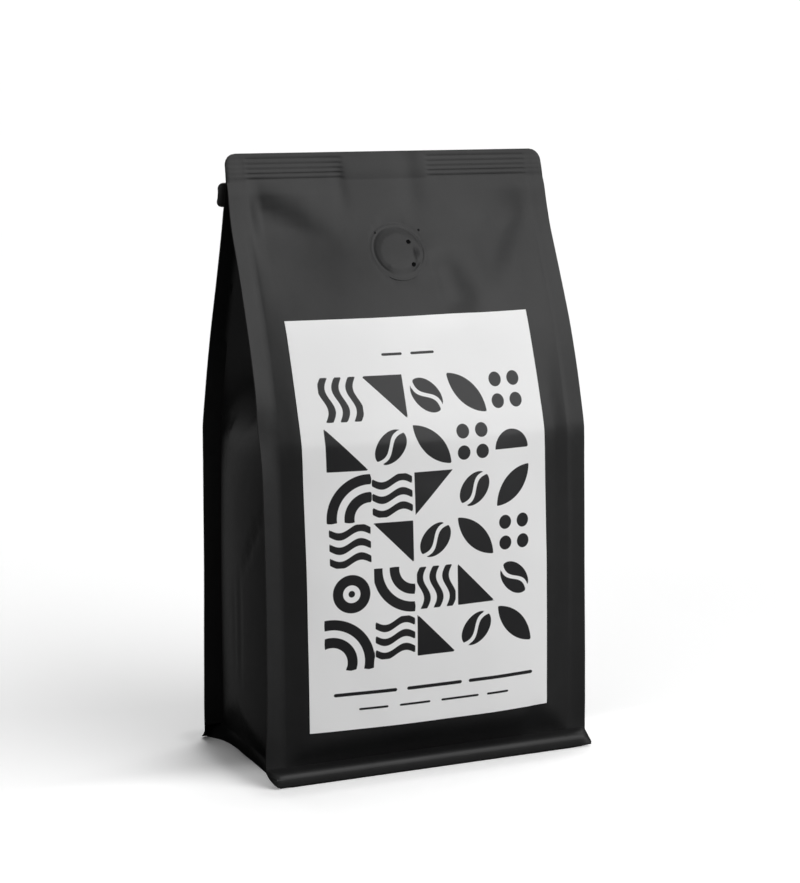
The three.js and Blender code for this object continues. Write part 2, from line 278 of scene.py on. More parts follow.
class BagSizes(bpy.types.PropertyGroup):
    """Sizes of the film bag."""
    height: metres("Height", "Foot to top edge", 0.2142)
    foot_width: metres("Film width", "Width of the front film at the foot", 0.125)
    foot_depth: metres("Foot depth", "Front flange to back flange at the floor", 0.0708)
    crease_width: metres("Panel width", "Width between the inner edges of the corner seals", 0.111)
    belly_foot: metres("Belly foot", "Height at which the panels start to bulge", 0.0058)
    belly_height: metres("Belly height", "Height at which the panels' bulge is full", 0.019)
    belly_corner: metres("Belly corner height", "The same height at the corner seals", 0.0095)
    foot_corner: metres("Foot corner", "Radius of the flange's corners", 0.0012)
    worn_corner: metres(
        "Rounder foot corner", "Radius of the front left corner of the flange", 0.005)
    tuck_depth: metres("Tuck depth", "How far the gussets' feet are drawn in", 0.0065)
    tuck_height: metres("Tuck height", "Height of the tuck's fold at mid depth", 0.022)
    tuck_corner: metres(
        "Tuck corner height", "Height of the tuck's fold at the corner seals", 0.006)
    front_spread: metres(
        "Front foot spread", "How much the front corner seals narrow towards the floor", 0.004)
    back_spread: metres(
        "Back foot spread", "How much the back corner seals narrow towards the floor", 0.005)
    top_corner: metres("Top corner", "Radius of the top corners", 0.004)
    seal_height: metres("Top seal", "Height of the flat seal under the top edge", 0.0095)
    fin_thickness: metres("Corner seal thickness", "Thickness of the welded corner seals", 0.0007)


class PrintSizes(bpy.types.PropertyGroup):
    """Sizes of the pasted label and of its print."""
    width: metres("Width", "Width of the label", 0.0924)
    height: metres("Height", "Height of the label", 0.1408)
    across: metres("Place across", "Middle of the label, from the bag's middle", -0.0017)
    middle: metres("Place up", "Height of the label's middle", 0.0879)
    tile: metres("Motif size", "Side of the square that one motif fills", 0.0157)
    stroke: metres("Stroke", "Width of the drawn strokes", 0.0036)


class TrimSizes(bpy.types.PropertyGroup):
    """Sizes of the valve and of the closing strip."""
    valve_diameter: metres("Valve diameter", "Across the valve's outer rim", 0.0204)
    tie_length: metres("Strip length", "Length of the closing strip", 0.1246)
    tie_height: metres("Strip height", "Height of the closing strip", 0.0084)


class Looks(bpy.types.PropertyGroup):
    """Colours and finish."""
    film_colour: FloatVectorProperty(
        name="Film", description="Colour of the matte film", default=(0.0055, 0.0055, 0.0057),
        subtype="COLOR", min=0, max=1)
    film_roughness: FloatProperty(
        name="Film roughness", description="How matte the film is", default=0.46, subtype="FACTOR",
        min=0, max=1)
    paper_colour: FloatVectorProperty(
        name="Paper", description="Colour of the label's paper", default=(0.85, 0.85, 0.85),
        subtype="COLOR", min=0, max=1)
    ink_colour: FloatVectorProperty(
        name="Ink", description="Colour of the print", default=(0.010, 0.010, 0.011),
        subtype="COLOR", min=0, max=1)
    tie_colour: FloatVectorProperty(
        name="Closing strip", description="Colour of the closing strip", default=(0.012, 0.012, 0.012),
        subtype="COLOR", min=0, max=1)


class Studio(bpy.types.PropertyGroup):
    """Camera."""
    azimuth: FloatProperty(
        name="Azimuth", description="Camera's turn round the bag", default=radians(-25.054),
        subtype="ANGLE")
    elevation: FloatProperty(
        name="Elevation", description="Camera's height angle", default=radians(9.353), subtype="ANGLE")
    distance: metres("Distance", "Camera to its aim", 0.824543)
    focal_pixels: FloatProperty(
        name="Focal length", description="Focal length in pixels of the picture", default=2300.0)
    aim: FloatVectorProperty(
        name="Aim", description="Point that the camera looks at", default=(0.002193, 0, 0.110997),
        subtype="XYZ", unit="LENGTH", precision=4)


# The bag's form, in millimetres

class BagForm:
    """Surfaces of the bag, worked out from its sizes."""

    def __init__(self, sizes):
        self.height = sizes.height / MM
        self.half_width = sizes.foot_width / MM / 2
        self.foot_half_depth = sizes.foot_depth / MM / 2
        self.crease = sizes.crease_width / MM / 2
        self.belly_foot = sizes.belly_foot / MM
        self.belly_height, self.belly_corner = sizes.belly_height / MM, sizes.belly_corner / MM
        self.foot_corner, self.worn_corner = sizes.foot_corner / MM, sizes.worn_corner / MM
        self.top_corner = sizes.top_corner / MM
        self.seal_foot = self.height - sizes.seal_height / MM
        self.fin = sizes.fin_thickness / MM
        self.seam_half_depth = curve(HALF_DEPTH)
        self.bulge = curve(PANEL_BULGE)
        self.edge_inset = curve(EDGE_INSET)
        self.lean = curve(LEAN)
        self.gusset_bulge = curve(GUSSET_BULGE)
        self.gusset_fold = curve(GUSSET_FOLD)
        self.tuck_depth, self.tuck_height = sizes.tuck_depth / MM, sizes.tuck_height / MM
        self.tuck_corner = sizes.tuck_corner / MM
        self.front_spread, self.back_spread = sizes.front_spread / MM, sizes.back_spread / MM
        self.tuck_share = curve(TUCK_PROFILE)
        self.flange_share = curve(FLANGE_PROFILE)

    def half_depth(self, z, x=0.0, front=True):
        """Half depth of the bag at its seams, with the flange and the turn of the corner seals."""
        low, high = FRONT_END if front else BACK_END
        at_end = smooth(self.crease + END_START, self.crease + END_WHOLE, abs(x))
        share = self.flange_share(z) * (1 - at_end) + clamp((high - z) / (high - low)) * at_end
        bend = SEAL_BEND * max(0, abs(x) - self.crease) * window(*SEAL_BEND_HEIGHTS, z)
        if front and x < 0:
            bend *= 1 - TURN_BACK * exp(-((z - TURN_BACK_HEIGHT) / TURN_BACK_REACH) ** 2)
        return self.seam_half_depth(z) + (self.foot_half_depth - HALF_DEPTH[0][1]) * share + bend

    def edge_x(self, z, worn=False):
        """Half width of the film at a height, with rounded top and foot corners."""
        side = self.half_width - self.edge_inset(z)
        foot = self.worn_corner if worn else self.foot_corner
        for over, radius in ((z - self.height + self.top_corner, self.top_corner), (foot - z, foot)):
            if over > 0:
                side -= radius - sqrt(max(0, radius * radius - over * over))
        return side

    def groove(self, x, z):
        """Depth of the pressed lines in the top seal."""
        if z < self.seal_foot - 1:
            return 0.0
        half = GROOVE_HALF
        reach = max(window(a - half, a + half, b - half, b + half, x) for a, b in GROOVE_ZONES)
        faint = GROOVE_FAINT * smooth(53, 55, abs(x))
        near = min(abs(self.height - drop - z) for drop in GROOVE_DROPS)
        return GROOVE_DEPTH * max(reach, faint) * (0.5 + 0.5 * cos(pi * clamp(near / half)))

    def ripple(self, x, z):
        """Slight unevenness of the filled film."""
        held = window(*RIPPLE_HEIGHTS, z) * smooth(self.crease + 2, self.crease - 10, abs(x))
        waves = (depth * noise.noise(Vector((x / across, z / up, place)))
                 for across, up, place, depth in RIPPLES)
        return held * sum(waves)

    def panel(self, x, z, front):
        """Distance of the big panels from the bag's middle plane."""
        u = clamp(abs(x) / self.crease)
        full = self.belly_height - (self.belly_height - self.belly_corner) * u ** 3
        power = 2.0
        if front:
            facet = smooth(FACET_START - FACET_STRETCH, FACET_START, x)
            line = self.belly_height - FACET_DROP - FACET_SLOPE * (x - FACET_START)
            full += facet * (max(self.belly_foot + FACET_LEAST, line) - full)
            power -= FACET_CRISP * facet
        belly = 1 - (1 - clamp((z - self.belly_foot) / (full - self.belly_foot))) ** power
        out = self.bulge(z) * belly * (1 - u ** 2.2)
        lower = window(self.belly_foot, RISE_FULL, RISE_FADE, RISE_END, z)
        step = SEAL_STEP * smooth(1.01, 0.995, abs(x) / self.crease)
        out += lower * (step + SEAL_RISE * smooth(1.0, 0.86, u))
        out -= SEAM_DEPTH * exp(-((abs(x) - self.crease) / SEAM_HALF) ** 2) * window(*SEAM_HEIGHTS, z)
        out += self.ripple(x if front else x + BACK_NOISE, z)
        if front:
            out -= dents(FRONT_DENTS, x, z) * smooth(self.crease + 0.5, self.crease - 6.5, abs(x))
        return self.half_depth(z, x, front) + out - self.groove(x, z)

    def front_y(self, x, z):
        return self.lean(z) - self.panel(x, z, True)

    def back_y(self, x, z):
        return self.lean(z) + self.panel(x, z, False)

    def spread(self, z, front):
        """How far the crease of a corner seal moves out near the floor."""
        return (self.front_spread if front else self.back_spread) * max(0, 1 - z / self.tuck_corner)

    def shut(self, z):
        """How far the gussets are closed under the top seal."""
        return smooth(CLOSE_START, self.seal_foot, z)

    def gusset_point(self, q, z, left):
        """Point of a side gusset; q runs from -1 at the front crease to 1 at the back one."""
        thick = min(self.fin, 0.45 * self.half_depth(z))
        shut = self.shut(z)
        crease = self.crease + shut * (self.edge_x(z) - self.crease)
        a = abs(q)
        rest = 1 - a * a
        fold = self.tuck_height - (self.tuck_height - self.tuck_corner) * a ** (0.75 if q < 0 else 2)
        tuck = self.tuck_depth * (1 - a ** 3) * self.tuck_share(z / fold)
        tuck *= 1 - smooth(0, 0.12, q) * smooth(0.7, 1.0, z / fold)
        x = crease + self.gusset_bulge(z) * rest - self.gusset_fold(z) * (1 - a) - tuck + 0.2 * shut * rest
        x += self.spread(z, q < 0) * a ** (1.3 if q < 0 else 5)
        drawn = a ** (DRAW_BACK * smooth(*DRAW_BACK_HEIGHTS, z))
        y = self.lean(z) + q * drawn * (self.half_depth(z) - thick)
        if left and z < DRAW_BACK_HEIGHTS[0]:
            x -= dents(SIDE_CREASES, y, z) * (1 - a ** 6)
        return x, y, z


class RingPlan:
    """Which point of the bag each place on the girth is, counted from the left middle fold."""

    def __init__(self, form, front_steps=150, back_steps=30, gusset_steps=30, fin_steps=4):
        self.form = form
        half = [("gusset", -k / gusset_steps) for k in range(gusset_steps + 1)]
        half += [("fin_inside", k / fin_steps) for k in range(1, fin_steps + 1)]
        half += [("fin_edge", 0.5)]
        front = [("fin", 1 - k / fin_steps) for k in range(fin_steps)]
        middle = [[("mid", "panel", -1 + 2 * k / steps) for k in range(steps + 1)]
                  for steps in (front_steps, back_steps)]
        left = [("left",) + place for place in half + front]
        right = [("right",) + place for place in reversed(half + front)]
        near = left + middle[0] + right
        far = left[1:] + middle[1] + right[:-1]
        self.places = [("front",) + p for p in near] + [("back",) + p for p in reversed(far)]

    def point(self, index, z):
        """Point of the girth at a height."""
        face, side, kind, share = self.places[index]
        form = self.form
        sign = 1 if side == "right" else -1
        depth = -1 if face == "front" else 1
        surface = form.front_y if face == "front" else form.back_y
        if kind == "panel":
            x = share * form.crease
            y = surface(x, z)
            if face == "front":
                near = hypot(x - VALVE_PLACE[0], (z - VALVE_PLACE[1]) / VALVE_SQUASH)
                y += VALVE_BED * smooth(VALVE_PATCH - BED_START, VALVE_PATCH - BED_FULL, near)
            return x, y, z
        if kind == "gusset":
            x, y, h = form.gusset_point(share * -depth, z, side == "left")
            return sign * x, y, h
        front = face == "front"
        shut = form.shut(z)
        edge = form.edge_x(z, worn=front and side == "left")
        if kind == "fin":
            x = sign * (form.crease + share * (edge - form.crease))
            return x, surface(x, z), z
        crease = form.crease + shut * (edge - form.crease) + form.spread(z, front)
        x = edge + SEAL_RIM if kind == "fin_edge" else crease + share * (edge - crease)
        half = form.half_depth(z, sign * x, front)
        thick = min(form.fin, 0.45 * half) * (0.5 if kind == "fin_edge" else 1)
        return sign * x, form.lean(z) + depth * (half - thick), z


# Modelling helpers

def direction(azimuth, elevation):
    """Unit vector from the bag towards a light or the camera."""
    return Vector((sin(azimuth) * cos(elevation), -cos(azimuth) * cos(elevation), sin(elevation)))


def start_piece(name):
    """Names the primitive just added and leaves it alone selected."""
    piece = bpy.context.object
    piece.name = piece.data.name = name
    return piece


def clear_selection():
    if bpy.context.mode != "OBJECT":
        bpy.ops.object.mode_set(mode="OBJECT")
    bpy.ops.object.select_all(action="DESELECT")


def cut_edges(piece, axis, cuts):
    """Cuts every edge of the primitive that runs along an axis."""
    bpy.ops.object.mode_set(mode="EDIT")
    bpy.ops.mesh.select_all(action="DESELECT")
    bpy.ops.mesh.select_mode(type="EDGE")
    bpy.ops.object.mode_set(mode="OBJECT")
    corners = piece.data.vertices
    for edge in piece.data.edges:
        first, second = (corners[corner].co[axis] for corner in edge.vertices)
        edge.select = abs(first - second) > 0.5
    bpy.ops.object.mode_set(mode="EDIT")
    bpy.ops.mesh.subdivide(number_cuts=cuts)
    bpy.ops.object.mode_set(mode="OBJECT")


def shape_vertices(piece, place):
    """Moves every vertex to where place(old position) says, given in millimetres."""
    for vertex in piece.data.vertices:
        vertex.co = Vector(place(vertex.co)) * MM


def thicken(piece, name, thickness):
    """Makes a closed sheet of a grid, with its thickness in metres below the surface."""
    wall = piece.modifiers.new(name, "SOLIDIFY")
    wall.thickness = thickness
    wall.offset = -1
    bpy.ops.object.modifier_apply(modifier=name)


def finish_piece(piece, material, node, angle=35):
    """Gives a piece its material and shading and sets it in the frame."""
    piece.data.materials.clear()
    piece.data.materials.append(material)
    clear_selection()
    piece.select_set(True)
    bpy.context.view_layer.objects.active = piece
    bpy.ops.object.shade_smooth_by_angle(angle=radians(angle))
    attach(piece, "root")
    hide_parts(node)
    piece.select_set(False)


# Materials

def new_material(name):
    material = bpy.data.materials.new(name)
    material.use_nodes = True
    nodes, links = material.node_tree.nodes, material.node_tree.links
    return material, nodes, links, nodes["Principled BSDF"]


def add_noise(nodes, links, coordinates, scale, detail=4.0, roughness=0.55, stretch=(1, 1, 1)):
    mapping = nodes.new("ShaderNodeMapping")
    mapping.inputs["Scale"].default_value = stretch
    links.new(coordinates, mapping.inputs["Vector"])
    texture = nodes.new("ShaderNodeTexNoise")
    texture.inputs["Scale"].default_value = scale
    texture.inputs["Detail"].default_value = detail
    texture.inputs["Roughness"].default_value = roughness
    links.new(mapping.outputs["Vector"], texture.inputs["Vector"])
    return texture.outputs["Fac"]


def add_ramp(nodes, links, value, start, end, low, high):
    """Takes a value between start and end to one between low and high."""
    remap = nodes.new("ShaderNodeMapRange")
    for name, number in (("From Min", start), ("From Max", end), ("To Min", low), ("To Max", high)):
        remap.inputs[name].default_value = number
    links.new(value, remap.inputs["Value"])
    return remap.outputs["Result"]


def add_range(nodes, links, value, low, high):
    """Takes a noise texture's usual values to a range."""
    return add_ramp(nodes, links, value, 0.3, 0.7, low, high)


def add_mix(nodes, links, factor, first, second):
    mix = nodes.new("ShaderNodeMix")
    mix.data_type = "RGBA"
    mix.inputs["A"].default_value = (*first, 1)
    mix.inputs["B"].default_value = (*second, 1)
    links.new(factor, mix.inputs["Factor"])
    return mix.outputs["Result"]


def add_bump(nodes, links, shader, heights):
    """Chains bumps, each a (height socket, strength, distance in metres)."""
    last = None
    for height, strength, distance in heights:
        bump = nodes.new("ShaderNodeBump")
        bump.inputs["Strength"].default_value = strength
        bump.inputs["Distance"].default_value = distance
        links.new(height, bump.inputs["Height"])
        if last:
            links.new(last, bump.inputs["Normal"])
        last = bump.outputs["Normal"]
    links.new(last, shader.inputs["Normal"])


def show_to_camera(nodes, links, seen, other, output):
    """Shows one shader to the camera and another one to all other rays."""
    rays = nodes.new("ShaderNodeLightPath")
    mix = nodes.new("ShaderNodeMixShader")
    links.new(rays.outputs["Is Camera Ray"], mix.inputs["Fac"])
    links.new(other, mix.inputs[1])
    links.new(seen, mix.inputs[2])
    links.new(mix.outputs["Shader"], nodes[output].inputs["Surface"])


def film_material(looks, name="matte_film", pinhole=None):
    """Matte laminated film: soft reflection, slight rubbing and a fine uneven surface; dull in the
    pinhole, if there is one, which paints the shade inside it."""
    material, nodes, links, shader = new_material(name)
    place = nodes.new("ShaderNodeTexCoord").outputs["Object"]
    colour = tuple(looks.film_colour)
    broad = add_noise(nodes, links, place, 28, 3)
    rubbed = add_noise(nodes, links, place, 160, 5, 0.6)
    grain = add_noise(nodes, links, place, 2600, 2, 0.5)
    waves = add_noise(nodes, links, place, 75, 3, 0.5, (1, 1, 0.7))
    worn = tuple(c * 1.25 for c in colour)
    links.new(add_mix(nodes, links, add_range(nodes, links, rubbed, 0, 1), colour, worn),
              shader.inputs["Base Color"])
    links.new(add_range(nodes, links, broad, looks.film_roughness - 0.03, looks.film_roughness + 0.03),
              shader.inputs["Roughness"])
    shader.inputs["Specular IOR Level"].default_value = FILM_SHINE
    if pinhole:
        x, y, z, radius = (MM * v for v in pinhole)
        # Painted shade: the film loses its reflection in the pinhole
        away = nodes.new("ShaderNodeVectorMath")
        away.operation = "DISTANCE"
        links.new(place, away.inputs[0])
        away.inputs[1].default_value = (x, y, z)
        shine = add_ramp(nodes, links, away.outputs["Value"], radius * 0.8, radius, 0, FILM_SHINE)
        links.new(shine, shader.inputs["Specular IOR Level"])
    add_bump(nodes, links, shader, [(waves, 0.35, 0.0006), (grain, 0.25, 0.00004)])
    return material


def valve_material(looks):
    """The same film, made dull in the holes and in the patch beside the notch that the piece's attribute
    marks, which paints the shade in them.
    """
    material = film_material(looks, "valve_film")
    nodes, links = material.node_tree.nodes, material.node_tree.links
    holes_and_shade = nodes.new("ShaderNodeAttribute")
    holes_and_shade.attribute_name = "holes_and_shade"
    dull = add_ramp(nodes, links, holes_and_shade.outputs["Fac"], 0, 1, FILM_SHINE, 0)
    links.new(dull, nodes["Principled BSDF"].inputs["Specular IOR Level"])
    return material


def label_material(looks):
    """Coated paper; the print follows the piece's own attribute, the distance to the nearest shape."""
    material, nodes, links, shader = new_material("printed_label")
    place = nodes.new("ShaderNodeTexCoord").outputs["Object"]
    ink = nodes.new("ShaderNodeAttribute")
    ink.attribute_name = "ink"
    edge = add_ramp(nodes, links, ink.outputs["Fac"], -PRINT_EDGE, PRINT_EDGE, 0, 1)
    colours = tuple(looks.ink_colour), tuple(looks.paper_colour)
    links.new(add_mix(nodes, links, edge, *colours), shader.inputs["Base Color"])
    fibre = add_noise(nodes, links, place, 900, 4, 0.6)
    links.new(add_range(nodes, links, fibre, 0.33, 0.39), shader.inputs["Roughness"])
    gloss = add_ramp(nodes, links, ink.outputs["Fac"], -PRINT_EDGE, PRINT_EDGE, 0.3, 0.15)
    links.new(gloss, shader.inputs["Specular IOR Level"])
    add_bump(nodes, links, shader, [(fibre, 0.2, 0.00003)])
    return material


def plastic_material(name, colour, roughness, grain_scale):
    material, nodes, links, shader = new_material(name)
    place = nodes.new("ShaderNodeTexCoord").outputs["Object"]
    grain = add_noise(nodes, links, place, grain_scale, 3)
    lighter = tuple(c * 1.3 for c in colour)
    links.new(add_mix(nodes, links, add_range(nodes, links, grain, 0, 1), colour, lighter),
              shader.inputs["Base Color"])
    links.new(add_range(nodes, links, grain, roughness - 0.04, roughness + 0.04),
              shader.inputs["Roughness"])
    add_bump(nodes, links, shader, [(grain, 0.2, 0.00005)])
    return material


# Print of the label: distances in millimetres, below zero inside a shape

def disc(x, y, cx, cy, radius):
    return hypot(x - cx, y - cy) - radius


def bar(x, y, x0, y0, x1, y1, half):
    return along(x, y, (x0, y0), (x1, y1))[1] - half


def arch(x, y, cx, cy, radius, half):
    return abs(hypot(x - cx, y - cy) - radius) - half


def tile_quarter_rings(x, y, s, w):
    return min(arch(x, y, -s / 2, -s / 2, s / 2, w / 2), arch(x, y, -s / 2, -s / 2, s * 0.92, w / 2))


def tile_half_disc(x, y, s, w):
    return max(disc(x, y, 0, -s / 4, s * 0.46), -y - s / 4)


def tile_bean(x, y, s, w):
    along_x, across = (x + y) * 0.7071, (y - x) * 0.7071
    body = (hypot(along_x, across / 0.68) - s * 0.47) * 0.75
    slit = abs(across - 1.5 * sin(along_x * 2 * pi / (s * 1.05))) - w * 0.20
    return max(body, -slit)


def tile_leaf(x, y, s, w):
    return max(disc(x, y, -s / 2, -s / 2, s * 0.97), disc(x, y, s / 2, s / 2, s * 0.97))


def tile_wave(x, y, s, w):
    lines = [abs(y - k * s / 3 - 1.4 * sin(x * 2 * pi / s)) - w * 0.36 for k in (-1, 0, 1)]
    return max(min(lines) * 0.85, abs(x) - s / 2, abs(y) - s / 2)


def tile_ring(x, y, s, w):
    return min(arch(x, y, 0, 0, s * 0.33, w / 2), disc(x, y, 0, 0, s * 0.08))


def tile_triangle(x, y, s, w):
    return max(x + y, abs(x) - s / 2, abs(y) - s / 2) * 0.8


def tile_dots(x, y, s, w):
    return min(disc(x, y, cx * s / 4, cy * s / 4, s * 0.17) for cx in (-1, 1) for cy in (-1, 1))


TILES = (
    tile_quarter_rings, tile_bean, tile_half_disc, tile_wave,
    tile_leaf, tile_ring, tile_triangle, tile_dots,
)
TILE_COLUMNS, TILE_ROWS, TILE_GAP = 5, 6, 0.9


def motif_distance(x, y, tile, stroke):
    """Distance to the motifs, laid out in rows with a turn that changes from tile to tile."""
    pitch = tile * 1.055
    width, height = TILE_COLUMNS * tile, TILE_ROWS * pitch
    if abs(x) > width / 2 + 2 or abs(y) > height / 2 + 2:
        return 5.0  # well away from every motif
    column = int(clamp((x + width / 2) // tile, 0, TILE_COLUMNS - 1))
    row = int(clamp((y + height / 2) // pitch, 0, TILE_ROWS - 1))
    kind = TILES[(column * 3 + row * 5 + (row // 2)) % len(TILES)]
    turn = (column * 2 + row * 3 + column * row) % 4
    u = x + width / 2 - (column + 0.5) * tile
    v = y + height / 2 - (row + 0.5) * pitch
    for _ in range(turn):
        u, v = v, -u
    return kind(u, v, tile - TILE_GAP, stroke)


def print_distance(x, y, sizes):
    """Distance to the nearest print; x and y are millimetres from the label's middle."""
    across, up = MOTIF_PLACE
    motifs = motif_distance(x - across, y - up, sizes.tile / MM, sizes.stroke / MM)
    return min([motifs] + [bar(x, y, x0, height, x1, height, half) for x0, x1, height, half in PRINT_BARS])


def row_height(row):
    """Height of a row of the label's grid, in millimetres from its middle."""
    for (r0, y0), (r1, y1) in zip(LABEL_ROWS, LABEL_ROWS[1:]):
        if row <= r1:
            return y0 + (y1 - y0) * (row - r0) / (r1 - r0)
    return LABEL_ROWS[-1][1]


# Pieces

class BAG_OT_pouch(bpy.types.Operator):
    """Builds the film bag from a tube that is drawn to the bag's girth at each height."""
    bl_idname = "coffee_bag.pouch"
    bl_label = "Film bag"

    def execute(self, context):
        form = BagForm(context.scene.bag_sizes)
        plan = RingPlan(form)
        count = len(plan.places)
        heights = list(FOOT_ROWS)
        while heights[-1] < form.seal_foot - 1.6:
            heights.append(heights[-1] + ROW_STEP)
        seal_start, seal = heights[-1], form.height - heights[-1] - 0.1
        heights += [seal_start + seal * (k + 1) / SEAL_ROWS for k in range(SEAL_ROWS)] + [form.height]
        rows = [(kind, 0.0) for kind in ("recess", "recess_edge", "flange_inside", "foot")]
        rows += [("wall", z) for z in heights]

        clear_selection()
        bpy.ops.mesh.primitive_cylinder_add(
            vertices=count, radius=1, depth=len(rows) - 1, end_fill_type="NGON")
        pouch = start_piece("pouch_film")
        cut_edges(pouch, 2, len(rows) - 2)
        inside = form.crease - FLANGE_INSIDE

        def place(spot):
            """The turn of a point says where on the girth it goes, its height says which row."""
            index = round(atan2(spot.y, spot.x) / (2 * pi) * count) % count
            kind, z = rows[round(spot.z + (len(rows) - 1) / 2)]
            if kind == "wall":
                return plan.point(index, z)
            x, y, h = plan.point(index, 0.0)
            if kind == "foot":
                return x, y, h
            sign = 1 if x > 0 else -1
            if plan.places[index][2] == "gusset":
                x, y = x - sign * 0.4, y * 0.99
            else:
                x = x if abs(x) < inside else sign * (inside + 0.02 * (abs(x) - inside))
                y = (1 if y > 0 else -1) * (min(abs(y), form.foot_half_depth) - form.fin)
                h = 0.0
            if kind == "flange_inside":
                return x, y, h
            spread = BASE_MIDDLE if kind == "recess" else 1.0
            y = clamp(y, -BASE_HALF_DEPTH, BASE_HALF_DEPTH) * spread
            bulge = sign * BASE_BULGE * (1 - (y / 35) ** 2)
            return x / inside * BASE_HALF_WIDTH * spread + bulge, y, BASE_HEIGHTS[kind]

        shape_vertices(pouch, place)
        bpy.ops.object.mode_set(mode="EDIT")
        bpy.ops.mesh.select_all(action="SELECT")
        bpy.ops.mesh.normals_make_consistent(inside=False)
        bpy.ops.object.mode_set(mode="OBJECT")
        x, z, radius = PINHOLE
        film = film_material(context.scene.bag_looks, pinhole=(x, form.front_y(x, z), z, radius))
        finish_piece(pouch, film, "pouch", 40)
        return {"FINISHED"}


class BAG_OT_label(bpy.types.Operator):
    """Builds the pasted label as a fine grid laid on the front panel, with its print."""
    bl_idname = "coffee_bag.label"
    bl_label = "Label"

    def execute(self, context):
        sizes = context.scene.bag_print
        form = BagForm(context.scene.bag_sizes)
        width, height = sizes.width / MM, sizes.height / MM
        rows = LABEL_ROWS[-1][0]
        stretch = height / 2 / LABEL_ROWS[-1][1]
        clear_selection()
        bpy.ops.mesh.primitive_grid_add(x_subdivisions=LABEL_COLUMNS, y_subdivisions=rows, size=1)
        label = start_piece("label_sheet")
        for vertex in label.data.vertices:
            vertex.co.y = row_height((vertex.co.y + 0.5) * rows) * stretch
        ink = label.data.attributes.new("ink", "FLOAT", "POINT")
        for vertex in label.data.vertices:
            ink.data[vertex.index].value = print_distance(vertex.co.x * width, vertex.co.y, sizes)

        def place(spot):
            z = sizes.middle / MM + spot.y
            x = sizes.across / MM + spot.x * width - LABEL_LEAN * (z - sizes.middle / MM)
            return x, form.front_y(x, z) - LABEL_FACE, z

        shape_vertices(label, place)
        thicken(label, "Paper", 0.0002)
        finish_piece(label, label_material(context.scene.bag_looks), "label", 40)
        return {"FINISHED"}


class BAG_OT_valve(bpy.types.Operator):
    """Builds the valve button from a disc that is raised in rings."""
    bl_idname = "coffee_bag.valve"
    bl_label = "Valve"

    def execute(self, context):
        form = BagForm(context.scene.bag_sizes)
        radius = context.scene.bag_trim.valve_diameter / MM / 2
        clear_selection()
        bpy.ops.mesh.primitive_grid_add(x_subdivisions=150, y_subdivisions=150, size=2)
        valve = start_piece("valve_button")
        marks = valve.data.attributes.new("holes_and_shade", "FLOAT", "POINT")

        def spread_round(spot):
            """Turns the square grid into a disc."""
            reach = max(abs(spot.x), abs(spot.y))
            scale = VALVE_PATCH * (reach / hypot(spot.x, spot.y) if reach else 0)
            return spot.x * scale, spot.y * scale

        def rise(dx, dz):
            """How far the button's face stands out of the film."""
            r = hypot(dx, dz)
            side = dx / max(r, 0.1)
            edge = BUTTON_RADIUS + BUTTON_OVAL * sin(2 * atan2(dz, dx) + 0.6)
            button = BUTTON_RISE * smooth(edge + 1.0, edge - 2.4, r)
            crown = BUTTON_CROWN * (1 - clamp(r / 7.5) ** 2)
            rim = VALVE_RIM * smooth(radius + 0.4, radius - 0.5, r)
            trough = TROUGH_DEPTH * exp(-((r - TROUGH_RADIUS) / TROUGH_HALF) ** 2)
            trough *= smooth(0.1, 0.8, abs(side))
            return button + crown + rim - trough + sum(swell(dx, dz, spot) for spot in VALVE_SWELLS)

        def holes_and_shade(dx, dz):
            """1 in the holes and less beside the notch, where the dull film paints the shade."""
            return max([swell(dx, dz, VALVE_SHADE)] + [
                smooth(hr + 0.12, hr - 0.12, hypot(dx - hx, dz - hz)) for hx, hz, hr in VALVE_HOLES])

        # The attribute makes the film dull there: painted shade in the holes and beside the notch
        for vertex in valve.data.vertices:
            marks.data[vertex.index].value = holes_and_shade(*spread_round(vertex.co))

        def place(spot):
            dx, dz = spread_round(spot)
            x, z = VALVE_PLACE[0] + dx, VALVE_PLACE[1] + dz * VALVE_SQUASH
            return x, form.front_y(x, z) - 0.02 - rise(dx, dz) + HOLE_DEPTH * holes_and_shade(dx, dz), z

        shape_vertices(valve, place)
        thicken(valve, "Wall", 0.0003)
        finish_piece(valve, valve_material(context.scene.bag_looks), "degassing_valve", 50)
        return {"FINISHED"}


class BAG_OT_tie(bpy.types.Operator):
    """Builds the closing strip with its two wires from a flat bar laid on the back."""
    bl_idname = "coffee_bag.tie"
    bl_label = "Closing strip"

    def execute(self, context):
        form = BagForm(context.scene.bag_sizes)
        trim = context.scene.bag_trim
        length, height = trim.tie_length / MM, trim.tie_height / MM
        clear_selection()
        bpy.ops.mesh.primitive_cube_add(size=1)
        tie = start_piece("closing_strip")
        for axis, cuts in ((0, 110), (2, 30)):
            cut_edges(tie, axis, cuts)

        def place(spot):
            v = spot.z * height
            corner = max(0, abs(v) - (height / 2 - TIE_CORNER))
            half = length / 2 - (TIE_CORNER - sqrt(max(0, TIE_CORNER ** 2 - corner ** 2)))
            x, z = spot.x * 2 * half + TIE_ACROSS, TIE_UP + v
            back = max(form.back_y(x, z + d) for d in (-1.5, 0, 1.5))
            wires = WIRE_RISE * sum(exp(-((v - wire) / WIRE_HALF) ** 2) for wire in WIRE_PLACES)
            return x, back + TIE_GAP + (TIE_THICKNESS + wires if spot.y > 0 else 0), z

        shape_vertices(tie, place)
        soften = tie.modifiers.new("Soft edges", "BEVEL")
        soften.width = 0.0002
        soften.segments = 2
        soften.limit_method = "ANGLE"
        soften.angle_limit = radians(60)
        bpy.ops.object.modifier_apply(modifier="Soft edges")
        material = plastic_material("strip_plastic", tuple(context.scene.bag_looks.tie_colour), 0.42, 900)
        finish_piece(tie, material, "tin_tie")
        return {"FINISHED"}


